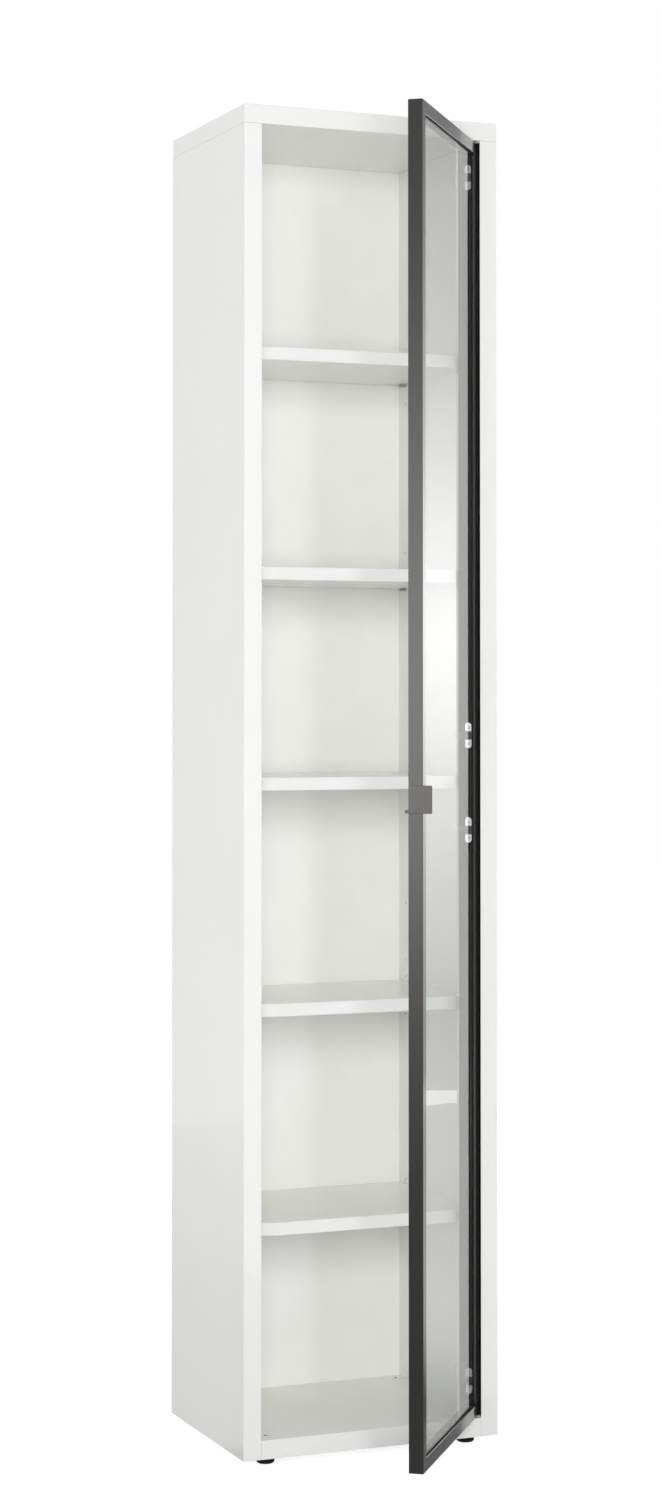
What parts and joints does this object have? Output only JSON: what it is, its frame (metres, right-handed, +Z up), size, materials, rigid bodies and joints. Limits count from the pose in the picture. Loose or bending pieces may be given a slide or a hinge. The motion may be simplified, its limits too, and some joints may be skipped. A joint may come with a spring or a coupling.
{
  "type": "bookcase with a glass door",
  "caption": "Tall narrow white bookcase with shelves and a full-height framed glass door hung on the right, standing open on low levelling feet.",
  "frame": {"origin": "on the floor under the middle of the carcass, in the plane that the feet stand on", "axes": "+Z up, -Y out of the front face, +X to the hinge side as seen from the front"},
  "size_m": [0.446, 0.6456, 2.1715],
  "materials": {
    "white_lacquer": "white high-gloss lacquer on board",
    "white_board": "white satin board",
    "dark_aluminium": "dark grey satin anodised",
    "clear_glass": "clear polished pane",
    "black_rubber": "matt black",
    "chrome": "bright plated steel",
    "nickel": "nickel plated steel",
    "black_plastic": "black moulded",
    "white_plastic": "white moulded"
  },
  "bodies": {
    "carcass": {"top_panel": "white_lacquer", "bottom_panel": "white_lacquer", "left_side_panel": "white_lacquer", "right_side_panel": "white_lacquer", "back_panel": "white_board", "shelf_1": "white_lacquer", "shelf_2": "white_lacquer", "middle_shelf": "white_lacquer", "shelf_4": "white_lacquer", "shelf_5": "white_lacquer", "shelf_1_pin_front_left": "nickel", "shelf_1_pin_front_right": "nickel", "shelf_1_pin_rear_left": "nickel", "shelf_1_pin_rear_right": "nickel", "shelf_2_pin_front_left": "nickel", "shelf_2_pin_front_right": "nickel", "shelf_2_pin_rear_left": "nickel", "shelf_2_pin_rear_right": "nickel", "shelf_4_pin_front_left": "nickel", "shelf_4_pin_front_right": "nickel", "shelf_4_pin_rear_left": "nickel", "shelf_4_pin_rear_right": "nickel", "shelf_5_pin_front_left": "nickel", "shelf_5_pin_front_right": "nickel", "shelf_5_pin_rear_left": "nickel", "shelf_5_pin_rear_right": "nickel", "foot_bush_front_left": "white_plastic", "foot_bush_front_right": "white_plastic", "foot_bush_rear_left": "white_plastic", "foot_bush_rear_right": "white_plastic", "hinge_1_plate": "chrome", "hinge_2_plate": "chrome", "hinge_3_plate": "chrome", "hinge_4_plate": "chrome", "hinge_1_arm": "chrome", "hinge_2_arm": "chrome", "hinge_3_arm": "chrome", "hinge_4_arm": "chrome"},
    "door": {"door_hinge_stile": "dark_aluminium", "door_free_stile": "dark_aluminium", "door_top_rail": "dark_aluminium", "door_bottom_rail": "dark_aluminium", "door_glass": "clear_glass", "door_glazing_seal": "black_rubber", "door_handle": "dark_aluminium", "hinge_1_cup": "chrome", "hinge_2_cup": "chrome", "hinge_3_cup": "chrome", "hinge_4_cup": "chrome", "hinge_1_pin": "nickel", "hinge_2_pin": "nickel", "hinge_3_pin": "nickel", "hinge_4_pin": "nickel"},
    "foot_front_left": {"foot_front_left": "black_plastic"},
    "foot_front_right": {"foot_front_right": "black_plastic"},
    "foot_rear_left": {"foot_rear_left": "black_plastic"},
    "foot_rear_right": {"foot_rear_right": "black_plastic"}
  },
  "joints": [
    {"name": "door_hinge", "type": "hinge", "parent": "carcass", "child": "door", "pos_m": [0.1825, -0.1665, 1.0885], "axis": [0, 0, 1], "range_deg": [-52, 43]},
    {"name": "foot_front_left_screw", "type": "slide", "parent": "carcass", "child": "foot_front_left", "axis": [0, 0, -1], "range_m": [0, 0.01]},
    {"name": "foot_front_right_screw", "type": "slide", "parent": "carcass", "child": "foot_front_right", "axis": [0, 0, -1], "range_m": [0, 0.01]},
    {"name": "foot_rear_left_screw", "type": "slide", "parent": "carcass", "child": "foot_rear_left", "axis": [0, 0, -1], "range_m": [0, 0.01]},
    {"name": "foot_rear_right_screw", "type": "slide", "parent": "carcass", "child": "foot_rear_right", "axis": [0, 0, -1], "range_m": [0, 0.01]}
  ]
}
